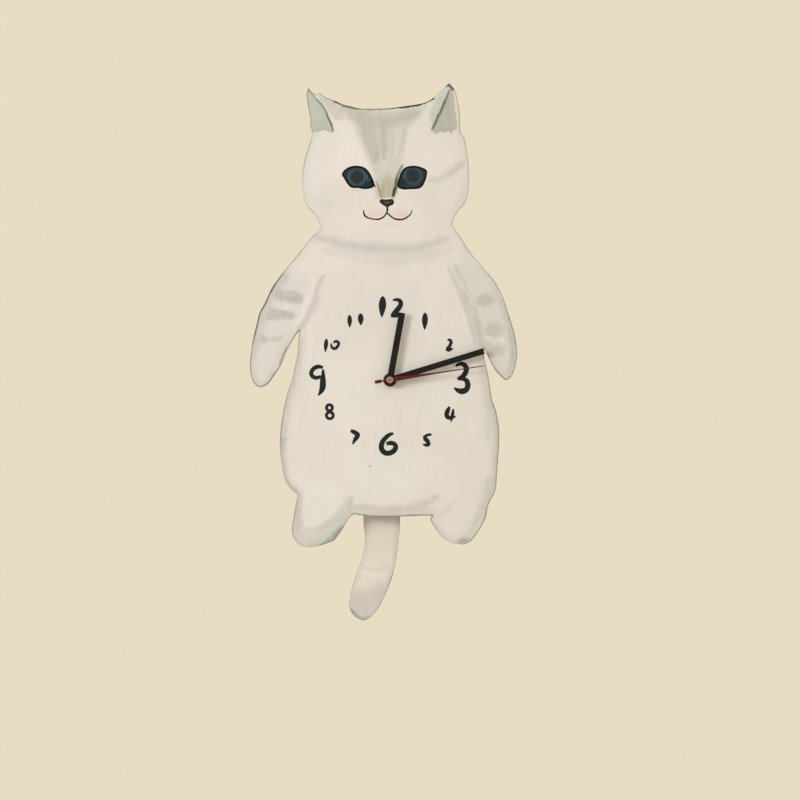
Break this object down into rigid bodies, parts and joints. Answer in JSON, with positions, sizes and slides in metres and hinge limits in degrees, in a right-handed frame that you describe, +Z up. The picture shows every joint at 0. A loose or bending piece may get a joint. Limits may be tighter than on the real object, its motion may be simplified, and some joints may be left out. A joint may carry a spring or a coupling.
{
  "type": "wall clock",
  "caption": "Flat wooden cat wall clock with brush-painted numerals, three hands, a rear quartz movement and a tail that swings as its pendulum.",
  "frame": {"origin": "centre of the keyhole in the hanger bracket, on the wall plane", "axes": "+Z up, +X to the viewer's right, -Y out of the wall towards the viewer; the hand arbors are parallel to Y"},
  "size_m": [0.2674, 0.0432, 0.5393],
  "materials": {
    "painted_board": "MDF board, brush-painted, matte, burnt brown edge",
    "numeral_paint": "dark slate paint, matte",
    "black_hands": "aluminium sheet, satin black lacquer",
    "red_hand": "aluminium sheet, dark red lacquer",
    "brass": "turned and lightly tarnished",
    "black_rubber": "matte",
    "case_plastic": "fine moulded texture",
    "screw_steel": "zinc plated",
    "hanger_steel": "zinc plated sheet",
    "battery_sleeve": "printed sleeve, gloss, no lettering",
    "contact_steel": "nickel plated strip",
    "board_green": "solder mask",
    "black_epoxy": "glob top",
    "crystal_can": "drawn metal can",
    "bobbin_plastic": "moulded",
    "copper_wire": "enamelled copper wire",
    "stator_steel": "stamped soft iron sheet",
    "magnet": "sintered",
    "gear_ivory": "moulded acetal",
    "gear_white": "moulded acetal"
  },
  "bodies": {
    "clock": {"cat_board": "painted_board", "painted_numerals": "numeral_paint", "dial_washer": "brass", "dial_nut": "brass", "rubber_gasket": "black_rubber", "center_bushing": "brass", "case_front": "case_plastic", "case_back": "case_plastic", "case_screws": "screw_steel", "hanger_bracket": "hanger_steel", "hanger_screws": "screw_steel", "aa_battery": "battery_sleeve", "battery_spring": "contact_steel", "negative_contact": "contact_steel", "positive_contact": "contact_steel", "circuit_board": "board_green", "ic_chip": "black_epoxy", "quartz_crystal": "crystal_can", "coil_bobbin": "bobbin_plastic", "coil_winding": "copper_wire", "coil_core": "stator_steel", "stator": "stator_steel", "train_bridge": "bobbin_plastic", "pendulum_pivot": "screw_steel", "drive_bobbin": "bobbin_plastic", "drive_coil": "copper_wire"},
    "second": {"second_hand": "red_hand", "second_hand_cap": "brass", "seconds_wheel": "gear_white"},
    "rotor": {"rotor_magnet": "magnet", "rotor_pinion": "gear_ivory"},
    "step": {"step_wheel": "gear_ivory"},
    "third": {"third_wheel": "gear_ivory"},
    "center": {"center_wheel": "gear_white"},
    "minute": {"minute_hand": "black_hands", "minute_nut": "brass", "cannon_pinion": "gear_ivory"},
    "motion": {"motion_wheel": "gear_ivory"},
    "hour": {"hour_hand": "black_hands", "hour_wheel": "gear_white"},
    "setting": {"setting_knob": "gear_white"},
    "tail": {"tail_board": "painted_board", "tail_strip": "hanger_steel", "tail_screws": "screw_steel", "pendulum_arm": "gear_ivory", "pendulum_magnet": "magnet"}
  },
  "joints": [
    {"name": "second_spin", "type": "hinge", "parent": "clock", "child": "second", "pos_m": [0, -0.03, -0.05], "axis": [0, 1, 0], "continuous": true},
    {"name": "rotor_spin", "type": "hinge", "parent": "clock", "child": "rotor", "pos_m": [-0.00653, -0.01, -0.06354], "axis": [0, 1, 0], "continuous": true},
    {"name": "step_spin", "type": "hinge", "parent": "clock", "child": "step", "pos_m": [0, -0.012, -0.0605], "axis": [0, 1, 0], "continuous": true},
    {"name": "third_spin", "type": "hinge", "parent": "clock", "child": "third", "pos_m": [-0.00958, -0.015, -0.05349], "axis": [0, 1, 0], "continuous": true},
    {"name": "center_spin", "type": "hinge", "parent": "clock", "child": "center", "pos_m": [0, -0.0167, -0.05], "axis": [0, 1, 0], "continuous": true},
    {"name": "minute_spin", "type": "hinge", "parent": "clock", "child": "minute", "pos_m": [0, -0.03, -0.05], "axis": [0, 1, 0], "continuous": true},
    {"name": "motion_spin", "type": "hinge", "parent": "clock", "child": "motion", "pos_m": [0.00902, -0.02, -0.05328], "axis": [0, 1, 0], "continuous": true},
    {"name": "hour_spin", "type": "hinge", "parent": "clock", "child": "hour", "pos_m": [0, -0.03, -0.05], "axis": [0, 1, 0], "continuous": true},
    {"name": "setting_spin", "type": "hinge", "parent": "clock", "child": "setting", "pos_m": [0.01399, -0.012, -0.06149], "axis": [0, 1, 0], "continuous": true},
    {"name": "tail_swing", "type": "hinge", "parent": "clock", "child": "tail", "pos_m": [0, -0.0127, -0.088], "axis": [0, -1, 0], "range_deg": [-4.5, 13.5]}
  ],
  "couplings": [
    {"joint": "rotor_spin", "follows": "second_spin", "ratio": 30},
    {"joint": "step_spin", "follows": "second_spin", "ratio": -6},
    {"joint": "third_spin", "follows": "second_spin", "ratio": -0.13333},
    {"joint": "center_spin", "follows": "second_spin", "ratio": 0.016667},
    {"joint": "motion_spin", "follows": "minute_spin", "ratio": -0.33333},
    {"joint": "hour_spin", "follows": "minute_spin", "ratio": 0.083333},
    {"joint": "setting_spin", "follows": "minute_spin", "ratio": 1}
  ]
}
